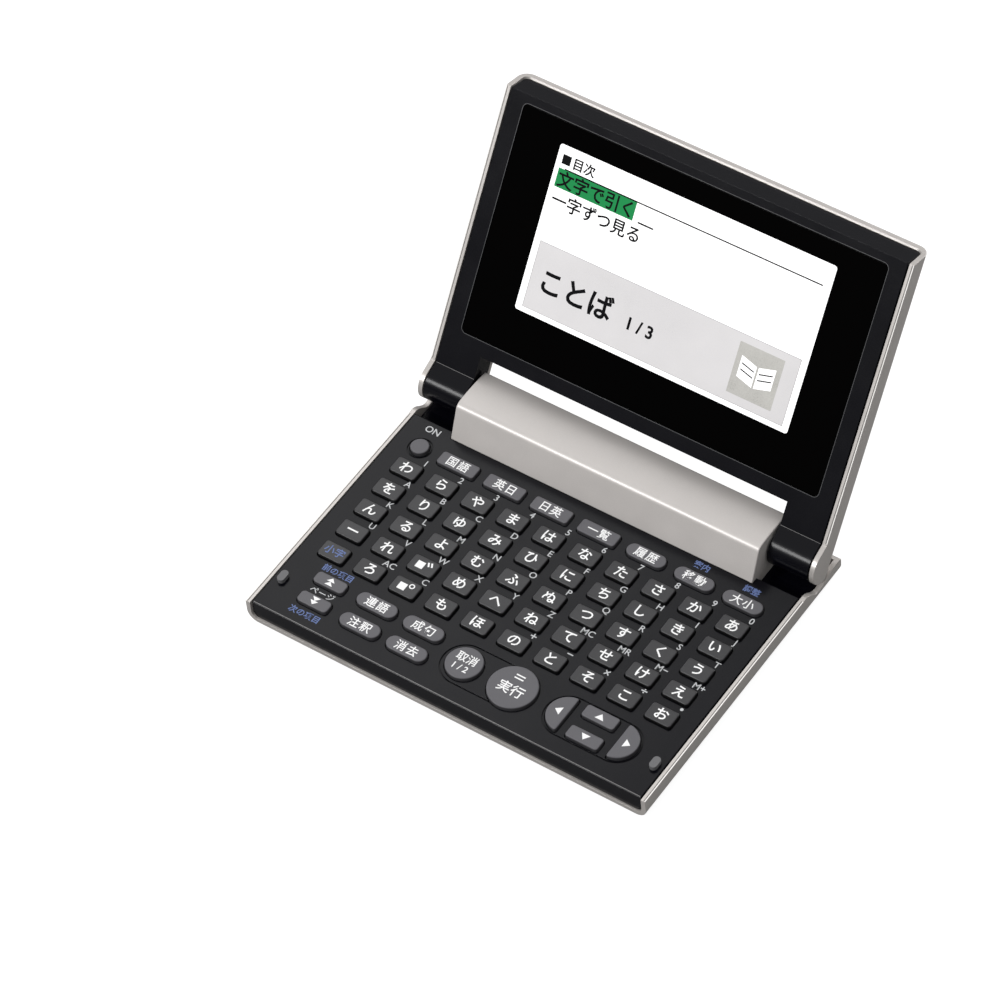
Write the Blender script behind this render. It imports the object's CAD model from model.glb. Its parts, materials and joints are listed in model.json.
import json
import math

import bmesh
import bpy
from mathutils import Matrix, Vector


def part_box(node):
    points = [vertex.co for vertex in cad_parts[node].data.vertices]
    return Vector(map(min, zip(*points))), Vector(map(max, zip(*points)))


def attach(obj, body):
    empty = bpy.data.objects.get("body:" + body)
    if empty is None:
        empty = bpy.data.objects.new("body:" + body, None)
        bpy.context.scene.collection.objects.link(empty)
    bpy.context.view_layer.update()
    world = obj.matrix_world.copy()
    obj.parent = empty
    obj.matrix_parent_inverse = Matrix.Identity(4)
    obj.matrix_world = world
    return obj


# Pocket electronic dictionary, open. The CAD pieces get their materials, and thin prints are laid on the
# keys, the deck, the shells' rims and the display. Lengths are in millimetres, and MM turns them to metres.
MM = 0.001

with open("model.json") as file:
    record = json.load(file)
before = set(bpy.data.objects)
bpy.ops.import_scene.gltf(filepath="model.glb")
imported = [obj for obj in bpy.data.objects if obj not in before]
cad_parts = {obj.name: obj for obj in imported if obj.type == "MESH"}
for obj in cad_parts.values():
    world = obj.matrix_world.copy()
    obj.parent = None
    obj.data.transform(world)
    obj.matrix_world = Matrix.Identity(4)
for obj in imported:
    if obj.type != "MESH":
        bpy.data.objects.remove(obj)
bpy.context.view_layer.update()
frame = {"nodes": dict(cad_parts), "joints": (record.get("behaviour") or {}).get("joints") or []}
nodes = frame["nodes"]
hinge_joint = next(joint for joint in frame["joints"] if joint["name"] == "lid_hinge")
hinge = Vector(hinge_joint["pos_m"])
open_angle = math.radians(hinge_joint["range_deg"][1])

# ------------------------------------------------------------------ sizes
# Each y on the deck, the rims and the bezel is measured from the hinge line, with the lid shut.
case_half = 55.0
deck_half = 53.4
deck_front = -74.46
deck_z = 6.8

lid_face_z = 8.1               # outer face of the window with the lid shut
bezel_rise = 0.1               # bezel above the window
window_width = 98.9
window_depth = 58.45
window_corner = 1.5
window_middle = -44.015
screen_width = 74.9
screen_depth = 41.7
screen_corner = 0.7
screen_shift = 2.8             # picture's middle to the back of the window's middle

print_depth = 0.03             # thickness of a print
print_sink = 0.005             # a print starts this far below its face
layer = 0.012                  # one print of the display over another

edge_line = 0.15               # width of a worn edge's line
edge_inset = 0.28              # deck's line behind its front edge
edge_short = 0.4               # deck's line stops short by this much in all
crease_y = -5.28
crease_length = 10.7
crease_middle = 47.95
base_rim_length = 65.6
base_rim_middle = -42.05
lid_rim_length = 69.4
lid_rim_middle = -40.5
rim_lines = {"dark": (0.17, 0.42), "bright": (0.2, 0.13)}    # width, and middle to the case's side

# The shifts of a key's legend are measured from its cap's middle.
kana_rows = 5
cap_margin = 2.8               # edge of a kana column's box to the first cap's centre
kana_size = 3.55
kana_stroke = 0.055            # a stroke grows by this much on either side
kana_shift = 0.15
small_letter_size = 2.7
small_letter_stroke = 0.04
block_side = 2.0               # block that stands for any syllable, before a voiced mark
block_shift = (-0.8, -0.15)
tick_width = 0.42
tick_length = 1.25
tick_lean = 28
tick_shifts = ((0.95, 0.75), (1.75, 0.95))
ring_outer = 0.72
ring_inner = 0.42
ring_shift = (1.3, 0.85)

word_size = 2.95
word_stroke = 0.035
word_spacing = 1.15
back_word_size = 2.8
back_word_y = 1.3
back_number_size = 2.4
back_number_y = -1.6
enter_word_size = 3.4
enter_word_stroke = 0.04
enter_word_spacing = 1.05
enter_word_y = -0.7
equals_width = 2.4
equals_line = 0.35
equals_ys = (3.5, 2.6)
arrow_width = 2.3
arrow_depth = 1.6
page_arrow_width = 2.1
page_arrow_depth = 1.1
page_arrow_ys = (0.6, -0.5)

mark_right = 2.75              # cap's middle to the mark beside it
mark_back = 3.95
mark_size = 2.45
mark_stroke = 0.02
sign_size = 3.2
signs = "+−×÷•"
power_word_size = 2.6
power_word_stroke = 0.03
power_word_place = (-46.84, -10.95)
page_word_place = (-40.9, -64.2)
label_size = 2.15
label_spacing = 1.1


# -------------------------------------------------------------- materials
noise_low = 0.3
noise_high = 0.7
fine_detail = 2.0
slow_detail = 3.0
least_roughness = 0.02


def link(tree, source, socket):
    tree.links.new(source, socket)


def node(tree, kind, **values):
    """A shader node. Each value is one of its settings or the constant of one of its sockets."""
    made = tree.nodes.new("ShaderNode" + kind)
    for name, value in values.items():
        if hasattr(made, name):
            setattr(made, name, value)
        else:
            made.inputs[name.replace("_", " ")].default_value = value
    return made


def noise(tree, coordinates, size, detail):
    """Noise whose features are about size millimetres across."""
    made = node(tree, "TexNoise", Scale=1.0 / (size * MM), Detail=detail)
    link(tree, coordinates, made.inputs["Vector"])
    return made.outputs["Fac"]


def spread(tree, value, low, high):
    """A noise, whose values lie mostly between noise_low and noise_high, stretched from low to high."""
    made = node(tree, "MapRange", From_Min=noise_low, From_Max=noise_high, To_Min=low, To_Max=high)
    link(tree, value, made.inputs["Value"])
    return made.outputs["Result"]


def mean(tree, first, second):
    """Half of each of two values."""
    half = node(tree, "Math", operation="MULTIPLY")
    link(tree, second, half.inputs[0])
    half.inputs[1].default_value = 0.5
    total = node(tree, "Math", operation="MULTIPLY_ADD")
    link(tree, first, total.inputs[0])
    total.inputs[1].default_value = 0.5
    link(tree, half.outputs["Value"], total.inputs[2])
    return total.outputs["Value"]


def darker_walls(tree, colour, wall_tone):
    """The colour as it is on level faces, and times wall_tone on upright ones."""
    facing = node(tree, "SeparateXYZ")
    link(tree, node(tree, "TexCoord").outputs["Normal"], facing.inputs["Vector"])
    factor = node(tree, "MapRange", From_Min=0.2, From_Max=0.9, To_Min=wall_tone, To_Max=1.0, clamp=True)
    link(tree, facing.outputs["Z"], factor.inputs["Value"])
    darkened = node(tree, "VectorMath", operation="SCALE")
    link(tree, colour, darkened.inputs["Vector"])
    link(tree, factor.outputs["Result"], darkened.inputs["Scale"])
    return darkened.outputs["Vector"]


def finish(name, colour, roughness, metallic=0.0, level=0.5, grain=0.25, height=0.003, cloud=9.0,
           shade=0.06, sheen_range=0.05, edge=0.12, streak=None, glow=0.0, wall_tone=1.0):
    """A surface with fine grain, a slow drift of tone and gloss, and rounded edges.

    grain and cloud are the sizes of the fine and the slow pattern, height is the depth of the grain and
    edge the radius of the edges, all in millimetres. streak stretches the grain along an axis.
    """
    material = bpy.data.materials.new(name)
    material.use_nodes = True
    tree = material.node_tree
    shader = tree.nodes["Principled BSDF"]
    place = node(tree, "TexCoord").outputs["Object"]
    fine_place = place
    if streak:
        stretched = node(tree, "Mapping", Scale=streak)
        link(tree, place, stretched.inputs["Vector"])
        fine_place = stretched.outputs["Vector"]
    fine = noise(tree, fine_place, grain, fine_detail)
    slow = noise(tree, place, cloud, slow_detail)
    pattern = mean(tree, fine, slow)

    tone = node(tree, "MixRGB")
    tone.inputs["Color1"].default_value = [channel * (1 - shade) for channel in colour] + [1.0]
    tone.inputs["Color2"].default_value = [min(1.0, channel * (1 + shade)) for channel in colour] + [1.0]
    link(tree, spread(tree, pattern, 0.0, 1.0), tone.inputs["Fac"])
    paint = tone.outputs["Color"]
    if wall_tone < 1.0:
        paint = darker_walls(tree, paint, wall_tone)
    link(tree, paint, shader.inputs["Base Color"])

    dullest = roughness + sheen_range
    rough = spread(tree, pattern, max(least_roughness, roughness - sheen_range), dullest)
    link(tree, rough, shader.inputs["Roughness"])
    bump = node(tree, "Bump", Strength=1.0, Distance=height * MM)
    link(tree, fine, bump.inputs["Height"])
    if edge > 0:
        rounding = node(tree, "Bevel", samples=4, Radius=edge * MM)
        link(tree, rounding.outputs["Normal"], bump.inputs["Normal"])
    link(tree, bump.outputs["Normal"], shader.inputs["Normal"])
    shader.inputs["Metallic"].default_value = metallic
    shader.inputs["Specular IOR Level"].default_value = level
    if glow:
        shader.inputs["Emission Color"].default_value = list(colour) + [1.0]
        shader.inputs["Emission Strength"].default_value = glow
    return material


def finishes(looks):
    return {name: finish(name, **look) for name, look in looks.items()}


surfaces = finishes({
    "shell_metal": dict(colour=(0.495, 0.468, 0.446), roughness=0.34, metallic=0.38, grain=0.16,
                        height=0.004, shade=0.04, edge=0.15),
    "spine_metal": dict(colour=(0.53, 0.502, 0.483), roughness=0.37, metallic=0.14, grain=0.18,
                        height=0.005, shade=0.05, edge=0.15),
    "dark_plastic": dict(colour=(0.0013, 0.0013, 0.003), roughness=0.22, level=0.17, grain=0.22,
                         height=0.005),
    "window_glass": dict(colour=(0.0004, 0.0003, 0.0003), roughness=0.06, level=0.03, grain=2.0, height=0.0,
                         sheen_range=0.015, edge=0.2),
    "display_glass": dict(colour=(0.66, 0.68, 0.66), roughness=0.12, grain=0.4, height=0.001),
    "white_plastic": dict(colour=(0.85, 0.85, 0.82), roughness=0.3, grain=0.6, height=0.002),
    "steel": dict(colour=(0.55, 0.55, 0.56), roughness=0.28, metallic=1.0, grain=0.3, height=0.003,
                  streak=(0.15, 1.0, 1.0)),
    "bearing_plastic": dict(colour=(0.68, 0.66, 0.60), roughness=0.35, grain=0.4, height=0.003),
    "board_green": dict(colour=(0.015, 0.11, 0.05), roughness=0.32, grain=0.5, height=0.008, shade=0.2),
    "chip_black": dict(colour=(0.012, 0.012, 0.013), roughness=0.55, grain=0.12, height=0.006),
    "cable_black": dict(colour=(0.01, 0.01, 0.011), roughness=0.45, grain=0.3, height=0.003),
    "mat_rubber": dict(colour=(0.09, 0.09, 0.10), roughness=0.7, grain=0.3, height=0.006),
    "cell_steel": dict(colour=(0.58, 0.585, 0.59), roughness=0.22, metallic=1.0, grain=0.4, height=0.002,
                       streak=(0.1, 1.0, 1.0)),
    "foot_rubber": dict(colour=(0.12, 0.12, 0.125), roughness=0.55, grain=0.25, height=0.008),
    "kana_key_plastic": dict(colour=(0.011, 0.0108, 0.0132), roughness=0.42, level=0.6, grain=0.2,
                             height=0.006, edge=0.1, wall_tone=0.2),
    "grey_key_plastic": dict(colour=(0.1, 0.098, 0.107), roughness=0.46, level=0.4, grain=0.2,
                             height=0.006, edge=0.1, wall_tone=0.45),
})

ink = dict(roughness=0.5, grain=0.1, height=0.001, edge=0.0)
film = dict(roughness=0.3, grain=0.12, height=0.0, edge=0.0)
inks = finishes({
    "ink_white": dict(ink, colour=(0.86, 0.86, 0.86)),
    "ink_soft": dict(ink, colour=(0.52, 0.53, 0.54)),
    "ink_blue": dict(ink, colour=(0.10, 0.15, 0.34)),
    "screen_white": dict(film, colour=(0.88, 0.88, 0.88), shade=0.02, glow=0.5),
    "screen_black": dict(film, colour=(0.004, 0.004, 0.005), level=0.05),
    "screen_green": dict(film, colour=(0.014, 0.21, 0.062), level=0.05, shade=0.03, glow=0.3),
    "screen_card": dict(film, colour=(0.64, 0.625, 0.63), cloud=14.0, glow=0.12),
    "screen_picture": dict(film, colour=(0.52, 0.51, 0.48), grain=0.3, cloud=5.0, shade=0.12),
    "screen_line": dict(film, colour=(0.42, 0.42, 0.42)),
    "edge_shine": dict(film, colour=(0.16, 0.155, 0.155)),
    "edge_faint": dict(film, colour=(0.045, 0.045, 0.048)),
    "rim_bright": dict(film, colour=(0.92, 0.90, 0.87)),
    "rim_dark": dict(film, colour=(0.12, 0.11, 0.105), roughness=0.4),
})

for cad_node in nodes.values():
    for slot in cad_node.material_slots:
        plain = slot.material.name.split(".")[0]
        if plain in surfaces:
            slot.material = surfaces[plain]


# ------------------------------------------------- prints, in millimetres
def words(text, size, stroke=0.0, spacing=1.0, align="CENTER"):
    """A line of text lying in XY, centred on its own box, or with its left end at x = 0."""
    curve = bpy.data.curves.new("glyphs", "FONT")
    curve.body = text
    curve.size = size
    curve.offset = stroke
    curve.space_character = spacing
    curve.resolution_u = 3
    curve.extrude = print_depth / 2
    holder = bpy.data.objects.new("glyphs", curve)
    bpy.context.scene.collection.objects.link(holder)
    bpy.context.view_layer.update()
    drawn = holder.evaluated_get(bpy.context.evaluated_depsgraph_get())
    mesh = bpy.data.meshes.new_from_object(drawn)
    bpy.data.objects.remove(holder)
    bpy.data.curves.remove(curve)
    xs = [vertex.co.x for vertex in mesh.vertices]
    ys = [vertex.co.y for vertex in mesh.vertices]
    start = min(xs) if align == "LEFT" else (min(xs) + max(xs)) / 2
    mesh.transform(Matrix.Translation((-start, -(min(ys) + max(ys)) / 2, print_depth / 2)))
    return mesh


def flat_mesh(points):
    """A thin plate with the given outline."""
    work = bmesh.new()
    low = [work.verts.new((x, y, 0.0)) for x, y in points]
    high = [work.verts.new((x, y, print_depth)) for x, y in points]
    work.faces.new(reversed(low))
    work.faces.new(high)
    for index in range(len(points)):
        after = (index + 1) % len(points)
        work.faces.new((low[index], low[after], high[after], high[index]))
    mesh = bpy.data.meshes.new("plate")
    work.to_mesh(mesh)
    work.free()
    return mesh


def bar(width, depth):
    x = width / 2
    y = depth / 2
    return flat_mesh([(-x, -y), (x, -y), (x, y), (-x, y)])


def slanted(width, depth, degrees):
    turned = bar(width, depth)
    turned.transform(Matrix.Rotation(math.radians(degrees), 4, "Z"))
    return turned


def triangle(width, depth, degrees=0):
    corners = [(-width / 2, -depth / 2), (width / 2, -depth / 2), (0.0, depth / 2)]
    turn = Matrix.Rotation(math.radians(degrees), 2)
    return flat_mesh([tuple(turn @ Vector(corner)) for corner in corners])


def rounded_outline(width, depth, corner, steps=6):
    """Points round a rectangle with rounded corners."""
    points = []
    for turn, (sx, sy) in enumerate(((1, 1), (-1, 1), (-1, -1), (1, -1))):
        cx = sx * (width / 2 - corner)
        cy = sy * (depth / 2 - corner)
        for step in range(steps + 1):
            angle = math.radians(90 * turn + 90 * step / steps)
            points.append((cx + corner * math.cos(angle), cy + corner * math.sin(angle)))
    return points


def circle(radius, steps=28):
    turns = [2 * math.pi * step / steps for step in range(steps)]
    return [(radius * math.cos(turn), radius * math.sin(turn)) for turn in turns]


def hoop(outer, inner):
    """A thin flat line between two closed outlines with the same number of points."""
    work = bmesh.new()
    rows = []
    for line, z in ((outer, 0.0), (outer, print_depth), (inner, print_depth), (inner, 0.0)):
        rows.append([work.verts.new((x, y, z)) for x, y in line])
    for index, row in enumerate(rows):
        other = rows[(index + 1) % len(rows)]
        for step in range(len(row)):
            after = (step + 1) % len(row)
            work.faces.new((row[step], row[after], other[after], other[step]))
    mesh = bpy.data.meshes.new("hoop")
    work.to_mesh(mesh)
    work.free()
    return mesh


def print_piece(name, body, material, prints):
    """Prints, each with its place, gathered into one piece that rides on a body."""
    work = bmesh.new()
    for mesh, place in prints:
        mesh.transform(place)
        work.from_mesh(mesh)
        bpy.data.meshes.remove(mesh)
    mesh = bpy.data.meshes.new(name)
    work.to_mesh(mesh)
    work.free()
    mesh.materials.append(inks[material])
    piece = bpy.data.objects.new(name, mesh)
    bpy.context.scene.collection.objects.link(piece)
    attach(piece, body)


# ------------------------------------------------------ places for prints
def on_face(point, dx=0.0, dy=0.0):
    """Place on a level face, at a point in metres and shifted by dx and dy."""
    spot = point + Vector((dx, dy, -print_sink)) * MM
    return Matrix.Translation(spot) @ Matrix.Scale(MM, 4)


def on_key(name, dx=0.0, dy=0.0):
    low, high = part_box(name)
    return on_face(Vector(((low.x + high.x) / 2, (low.y + high.y) / 2, high.z)), dx, dy)


def on_deck(x, y):
    """Place on the deck, or on the base's side walls, which are as high."""
    return on_face(Vector((x * MM, hinge.y + y * MM, deck_z * MM)))


lid_swing = (Matrix.Translation(hinge) @ Matrix.Rotation(-open_angle, 4, "X")
             @ Matrix.Translation((0.0, 0.0, lid_face_z * MM - hinge.z)))


def on_lid(x, y, depth):
    """Place on the lid's inner side, seen with the lid open: depth metres below the window's face."""
    return Matrix(((1, 0, 0, x * MM), (0, -1, 0, y * MM), (0, 0, -1, -depth), (0, 0, 0, 1)))


def on_bezel(x, y):
    """Place on the bezel round the window, or on the lid's rim: x to the right, y from the hinge line."""
    return lid_swing @ on_lid(x, y, bezel_rise * MM) @ Matrix.Scale(MM, 4)


def on_screen(x, y, level=0):
    """Place on the display's face: x to the right, y up from the picture's middle."""
    middle = on_lid(0.0, window_middle - screen_shift, 0.0)
    shift = Matrix.Translation((x * MM, y * MM, level * layer * MM))
    return lid_swing @ middle @ shift @ Matrix.Scale(MM, 4)


# ------------------------------------------------------------ key legends
def kana_caps(index):
    """Middle of the top face of each cap in a column of kana keys, from the back, in metres."""
    low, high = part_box("kana_keys_%d" % (index + 1))
    first = high.y - cap_margin * MM
    last = low.y + cap_margin * MM
    x = (low.x + high.x) / 2
    return [Vector((x, first + (last - first) * row / (kana_rows - 1), high.z)) for row in range(kana_rows)]


def kana_prints(letter, cap):
    """Prints on one cap. The two voiced marks follow a block that stands for any syllable."""
    if letter not in "゛゜":
        return [(words(letter, kana_size, kana_stroke), on_face(cap, 0.0, kana_shift))]
    prints = [(bar(block_side, block_side), on_face(cap, *block_shift))]
    if letter == "゛":
        for shift in tick_shifts:
            prints.append((slanted(tick_width, tick_length, tick_lean), on_face(cap, *shift)))
    else:
        prints.append((hoop(circle(ring_outer), circle(ring_inner)), on_face(cap, *ring_shift)))
    return prints


kana_columns = ["わをんー", "らりるれろ", "やゆよ゛゜", "まみむめも", "はひふへほ",
                "なにぬねの", "たちつてと", "さしすせそ", "かきくけこ", "あいうえお"]
for index, letters in enumerate(kana_columns):
    name = "kana_keys_%d" % (index + 1)
    prints = []
    for letter, cap in zip(letters, kana_caps(index)):
        prints += kana_prints(letter, cap)
    print_piece(name + "_legends", name + "_body", "ink_white", prints)

small_letter_cap = kana_caps(0)[-1]
print_piece("small_letter_legend", "kana_keys_1_body", "ink_blue", [
    (words("小字", small_letter_size, small_letter_stroke), on_face(small_letter_cap, 0.0, kana_shift))])


def key_legend(name, prints):
    print_piece(name + "_legend", name + "_body", "ink_white", prints)


key_words = {"function_key": ["国語", "英日", "日英", "一覧", "履歴", "移動", "大小"],
             "pill_key": ["連語", "成句", "注釈", "消去"]}
for family, its_words in key_words.items():
    for index, word in enumerate(its_words):
        name = "%s_%d" % (family, index + 1)
        key_legend(name, [(words(word, word_size, word_stroke, word_spacing), on_key(name))])

key_legend("back_key", [
    (words("取消", back_word_size, word_stroke), on_key("back_key", 0.0, back_word_y)),
    (words("1 / 2", back_number_size, word_stroke), on_key("back_key", 0.0, back_number_y))])
enter_prints = [(bar(equals_width, equals_line), on_key("enter_key", 0.0, y)) for y in equals_ys]
enter_word = words("実行", enter_word_size, enter_word_stroke, enter_word_spacing)
key_legend("enter_key", enter_prints + [(enter_word, on_key("enter_key", 0.0, enter_word_y))])
for name, degrees in (("up_key", 0), ("down_key", 180), ("left_key", 90), ("right_key", -90)):
    key_legend(name, [(triangle(arrow_width, arrow_depth, degrees), on_key(name))])
for name, degrees in (("page_up_key", 0), ("page_down_key", 180)):
    key_legend(name, [(triangle(page_arrow_width, page_arrow_depth, degrees), on_key(name, 0.0, y))
                      for y in page_arrow_ys])

# ----------------------------------------------------------- deck legends
marks = [["1", "2", "3", "4", "5", "6", "7", "8", "9", "0"],
         ["A", "B", "C", "D", "E", "F", "G", "H", "I", "J"],
         ["K", "L", "M", "N", "O", "P", "Q", "R", "S", "T"],
         ["U", "V", "W", "X", "Y", "Z", "MC", "MR", "M−", "M+"],
         ["", "AC", "C", "", "", "+", "−", "×", "÷", "•"]]
deck_prints = []
for index in range(len(kana_columns)):
    for row, cap in enumerate(kana_caps(index)):
        text = marks[row][index]
        if text:
            size = sign_size if text in signs else mark_size
            beside = Vector((cap.x, cap.y, deck_z * MM))
            deck_prints.append((words(text, size, mark_stroke), on_face(beside, mark_right, mark_back)))
deck_prints.append((words("ON", power_word_size, power_word_stroke), on_deck(*power_word_place)))
deck_prints.append((words("ページ", label_size, mark_stroke, label_spacing), on_deck(*page_word_place)))
print_piece("deck_marks", "base", "ink_soft", deck_prints)

blue_labels = {"前の項目": (-41.3, -57.4), "次の項目": (-41.1, -71.15),
               "案内": (29.5, -12.4), "調整": (43.2, -12.5)}
print_piece("blue_marks", "base", "ink_blue", [
    (words(text, label_size, word_stroke), on_deck(x, y)) for text, (x, y) in blue_labels.items()])

# ------------------------------------------------- edges that catch light
print_piece("deck_edge_line", "base", "edge_shine", [
    (bar(2 * deck_half - edge_short, edge_line), on_deck(0.0, deck_front + edge_inset))])
print_piece("bezel_edge_lines", "lid", "edge_shine", [
    (bar(crease_length, edge_line), on_bezel(side * crease_middle, crease_y)) for side in (-1, 1)])
window_outer = rounded_outline(window_width, window_depth, window_corner)
window_inner = rounded_outline(window_width - 2 * edge_line, window_depth - 2 * edge_line,
                               window_corner - edge_line)
print_piece("window_edge_line", "lid", "edge_faint", [
    (hoop(window_outer, window_inner), on_bezel(0.0, window_middle))])
for tone, (width, inset) in rim_lines.items():
    rims = [side * (case_half - inset) for side in (-1, 1)]
    print_piece("base_rim_lines_" + tone, "base", "rim_" + tone, [
        (bar(width, base_rim_length), on_deck(x, base_rim_middle)) for x in rims])
    print_piece("lid_rim_lines_" + tone, "lid", "rim_" + tone, [
        (bar(width, lid_rim_length), on_bezel(x, lid_rim_middle)) for x in rims])


# ---------------------------------------------------------------- display
def screen_piece(name, material, prints):
    print_piece(name, "lid", material, prints)


# Places are measured from the picture's middle, whose left and upper sides are left and top.
left = -screen_width / 2
top = screen_depth / 2
bar_width = 21.6
bar_depth = 4.6
bar_x = left + 12.0
bar_y = top - 7.9
heading_y = top - 3.3
heading_block = 2.3
heading_block_x = left + 2.6
rule_width = 70.0
rule_line = 0.32
rule_x = 0.3
rule_y = top - 5.5
cursor_width = 4.3
cursor_line = 0.4
cursor_x = left + 26.4
cursor_y = top - 10.0
panel_width = 71.4
panel_depth = 16.6
panel_y = 9.6 - top
panel_line = 0.12
panel_side = panel_width / 2
panel_back = 17.9 - top
panel_front = 1.3 - top
picture_width = 12.0
picture_depth = 12.6
picture_x = left + 63.4
picture_y = 9.7 - top
book_left = [(-4.6, -1.9), (-0.25, -3.1), (-0.25, 2.1), (-4.6, 3.3)]
book_right = [(0.25, -3.1), (4.6, -1.9), (4.6, 3.3), (0.25, 2.1)]
page_line_length = 3.6
page_line_width = 0.3
page_line_lean = 15
page_line_x = 2.4
page_line_ys = (1.1, -0.4)

screen_piece("screen_field", "screen_white", [
    (flat_mesh(rounded_outline(screen_width, screen_depth, screen_corner)), on_screen(0, 0))])
screen_piece("screen_bar", "screen_green", [(bar(bar_width, bar_depth), on_screen(bar_x, bar_y, 1))])
screen_piece("screen_panel", "screen_card", [(bar(panel_width, panel_depth), on_screen(0.0, panel_y, 1))])
screen_piece("screen_panel_edge", "screen_line", [
    (bar(panel_width, panel_line), on_screen(0.0, panel_back, 2)),
    (bar(panel_width, panel_line), on_screen(0.0, panel_front, 2)),
    (bar(panel_line, panel_depth), on_screen(-panel_side, panel_y, 2)),
    (bar(panel_line, panel_depth), on_screen(panel_side, panel_y, 2))])
screen_piece("screen_picture", "screen_picture", [
    (bar(picture_width, picture_depth), on_screen(picture_x, picture_y, 2))])
screen_piece("screen_book", "screen_white", [
    (flat_mesh(page), on_screen(picture_x, picture_y, 3)) for page in (book_right, book_left)])

# Each line of text with its size, stroke, left end, height on the screen and layer.
screen_words = [("目次", 3.1, 0.07, 4.7, heading_y, 1),
                ("文字で引く", 4.3, 0.08, 1.6, bar_y, 2),
                ("一字ずつ見る", 4.1, 0.07, 1.6, top - 13.0, 1),
                ("ことば", 6.8, 0.16, 5.0, 9.4 - top, 2),
                ("1 / 3", 4.2, 0.12, 29.0, 8.4 - top, 2)]
screen_prints = [
    (bar(heading_block, heading_block), on_screen(heading_block_x, heading_y, 1)),
    (bar(rule_width, rule_line), on_screen(rule_x, rule_y, 2)),
    (bar(cursor_width, cursor_line), on_screen(cursor_x, cursor_y, 1))]
for text, size, stroke, x, y, level in screen_words:
    screen_prints.append((words(text, size, stroke, align="LEFT"), on_screen(left + x, y, level)))
for side in (1, -1):
    for rise in page_line_ys:
        line = slanted(page_line_length, page_line_width, side * page_line_lean)
        screen_prints.append((line, on_screen(picture_x + side * page_line_x, picture_y + rise, 4)))
screen_piece("screen_text", "screen_black", screen_prints)

# ------------------------------------------------------------------ floor
floor_half = 4.0               # metres
floor_tone = 0.24
floor_glow = 0.88              # evens out the floor where the camera sees it
floor_drop = 0.02

floor_mesh = bpy.data.meshes.new("floor")
work = bmesh.new()
bmesh.ops.create_grid(work, x_segments=1, y_segments=1, size=floor_half)
work.to_mesh(floor_mesh)
work.free()
floor_paint = finish("floor_pale", (floor_tone, floor_tone, floor_tone), roughness=0.6, level=0.2,
                     grain=1.5, height=0.0, cloud=60.0, shade=0.01, edge=0.0)
tree = floor_paint.node_tree
floor_shader = tree.nodes["Principled BSDF"]
floor_shader.inputs["Emission Color"].default_value = (1.0, 1.0, 1.0, 1.0)
shining = node(tree, "Math", operation="MULTIPLY")
link(tree, node(tree, "LightPath").outputs["Is Camera Ray"], shining.inputs[0])
shining.inputs[1].default_value = floor_glow
link(tree, shining.outputs["Value"], floor_shader.inputs["Emission Strength"])
floor_mesh.materials.append(floor_paint)
floor = bpy.data.objects.new("floor", floor_mesh)
floor.location.z = -floor_drop * MM
bpy.context.scene.collection.objects.link(floor)


# ------------------------------------------------------------------ light
def soft_light(name, place, aim, size, power):
    """A round area light, in metres and watts."""
    lamp = bpy.data.lights.new(name, "AREA")
    lamp.shape = "DISK"
    lamp.size = size
    lamp.energy = power
    holder = bpy.data.objects.new(name, lamp)
    holder.location = place
    holder.rotation_mode = "QUATERNION"
    holder.rotation_quaternion = (Vector(aim) - Vector(place)).to_track_quat("-Z", "Y")
    bpy.context.scene.collection.objects.link(holder)


soft_light("key_light", place=(-0.50, -0.94, 0.75), aim=(0.0, 0.0, 0.02), size=0.36, power=8.4)
soft_light("back_light", place=(-0.56, 0.38, 0.66), aim=(0.0, 0.0, 0.02), size=0.6, power=1.4)
soft_light("low_fill", place=(0.22, 0.82, 0.16), aim=(0.0, 0.0, 0.03), size=0.5, power=4.5)

# The studio is brighter overhead and on the left, and plain white where the camera sees past the floor.
world = bpy.data.worlds.new("studio")
world.use_nodes = True
bpy.context.scene.world = world
tree = world.node_tree
sky = tree.nodes["Background"]
sky.inputs["Color"].default_value = (1.0, 1.0, 1.0, 1.0)
direction = node(tree, "SeparateXYZ")
link(tree, node(tree, "TexCoord").outputs["Generated"], direction.inputs["Vector"])
height_ramp = node(tree, "MapRange", From_Min=0.0, From_Max=0.65, To_Min=0.18, To_Max=0.88, clamp=True)
link(tree, direction.outputs["Z"], height_ramp.inputs["Value"])
side_ramp = node(tree, "MapRange", From_Min=-0.9, From_Max=0.9, To_Min=1.12, To_Max=0.8, clamp=True)
link(tree, direction.outputs["X"], side_ramp.inputs["Value"])
shaped = node(tree, "Math", operation="MULTIPLY")
link(tree, height_ramp.outputs["Result"], shaped.inputs[0])
link(tree, side_ramp.outputs["Result"], shaped.inputs[1])
choose = node(tree, "Mix", data_type="FLOAT")
link(tree, node(tree, "LightPath").outputs["Is Camera Ray"], choose.inputs[0])
link(tree, shaped.outputs["Value"], choose.inputs[2])
choose.inputs[3].default_value = 1.0
link(tree, choose.outputs[0], sky.inputs["Strength"])

# ----------------------------------------------------------------- camera
# The place and the lens come from a camera fitted to the photograph, in metres.
camera_data = bpy.data.cameras.new("camera")
camera_data.sensor_width = 36.0
camera_data.lens = 187.31
camera_data.clip_start = 0.1
camera_data.clip_end = 20.0
camera = bpy.data.objects.new("camera", camera_data)
camera.matrix_world = Matrix((
    (0.82376781, -0.39889747, 0.40284912, 0.46585),
    (0.56237212, 0.66485393, -0.49163691, -0.60113),
    (-0.07172310, 0.63154577, 0.77201408, 0.94059),
    (0.0, 0.0, 0.0, 1.0)))
bpy.context.scene.collection.objects.link(camera)
bpy.context.scene.camera = camera
bpy.context.scene.view_settings.view_transform = "Standard"
